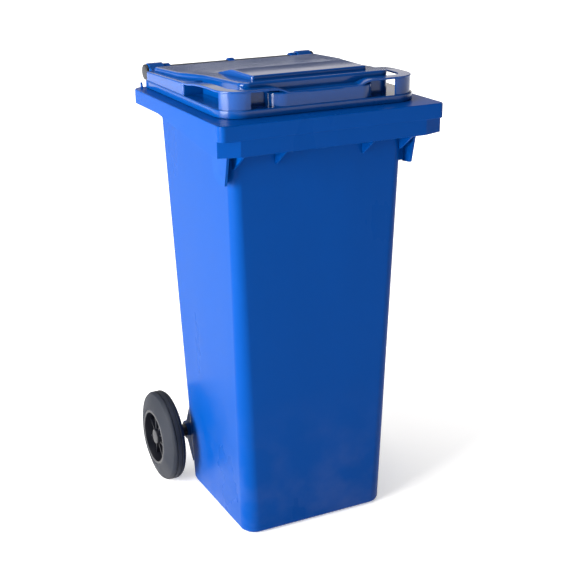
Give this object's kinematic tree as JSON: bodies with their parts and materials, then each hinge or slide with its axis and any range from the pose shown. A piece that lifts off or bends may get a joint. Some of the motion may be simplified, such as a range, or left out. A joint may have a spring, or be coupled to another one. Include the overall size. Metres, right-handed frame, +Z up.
{
  "type": "wheelie bin",
  "caption": "Two-wheeled refuse bin with a tapered tub, a lifting rim, a hinged lid with corner grips, a push bar and rubber-tyred wheels.",
  "frame": {"origin": "on the ground at the middle of the bin's width and of its depth from the front lip to the back of the wheels", "axes": "+X to the right of a person facing the front, +Y to the back where the wheels and push bar are, +Z up"},
  "size_m": [0.476, 0.51, 0.9425],
  "materials": {
    "tub_plastic": "satin moulded polyethylene, saturated blue",
    "lid_plastic": "satin moulded polyethylene, saturated blue",
    "bar_plastic": "black moulded plastic",
    "wheel_plastic": "black moulded plastic with a slight sheen",
    "tyre_rubber": "dull black solid rubber",
    "axle_steel": "zinc-plated steel bar",
    "spring_steel": "drawn spring wire"
  },
  "bodies": {
    "bin": {"bin_body": "tub_plastic", "push_bar": "bar_plastic", "bar_cap_left": "bar_plastic", "bar_cap_right": "bar_plastic"},
    "lid": {"lid": "lid_plastic"},
    "axle": {"axle": "axle_steel", "spacer_left": "wheel_plastic", "spacer_right": "wheel_plastic"},
    "wheel_left": {"wheel_left": "wheel_plastic", "tyre_left": "tyre_rubber", "latch_spring_left": "spring_steel"},
    "wheel_right": {"wheel_right": "wheel_plastic", "tyre_right": "tyre_rubber", "latch_spring_right": "spring_steel"},
    "latch_left": {"latch_pin_left": "axle_steel"},
    "latch_right": {"latch_pin_right": "axle_steel"}
  },
  "joints": [
    {"name": "lid_hinge", "type": "hinge", "parent": "bin", "child": "lid", "pos_m": [0, 0.217, 0.903], "axis": [-1, 0, 0], "range_deg": [0, 270]},
    {"name": "axle_turn", "type": "hinge", "parent": "bin", "child": "axle", "pos_m": [0, 0.155, 0.1], "axis": [1, 0, 0], "continuous": true},
    {"name": "wheel_roll_left", "type": "hinge", "parent": "axle", "child": "wheel_left", "pos_m": [-0.213, 0.155, 0.1], "axis": [1, 0, 0], "continuous": true},
    {"name": "wheel_roll_right", "type": "hinge", "parent": "axle", "child": "wheel_right", "pos_m": [0.213, 0.155, 0.1], "axis": [1, 0, 0], "continuous": true},
    {"name": "latch_slide_left", "type": "slide", "parent": "wheel_left", "child": "latch_left", "axis": [0, 0, 1], "range_m": [0, 0.0032], "stiffness_N_per_m": 600, "springref_m": -0.003, "deforming": ["latch_spring_left"]},
    {"name": "latch_slide_right", "type": "slide", "parent": "wheel_right", "child": "latch_right", "axis": [0, 0, 1], "range_m": [0, 0.0032], "stiffness_N_per_m": 600, "springref_m": -0.003, "deforming": ["latch_spring_right"]}
  ]
}
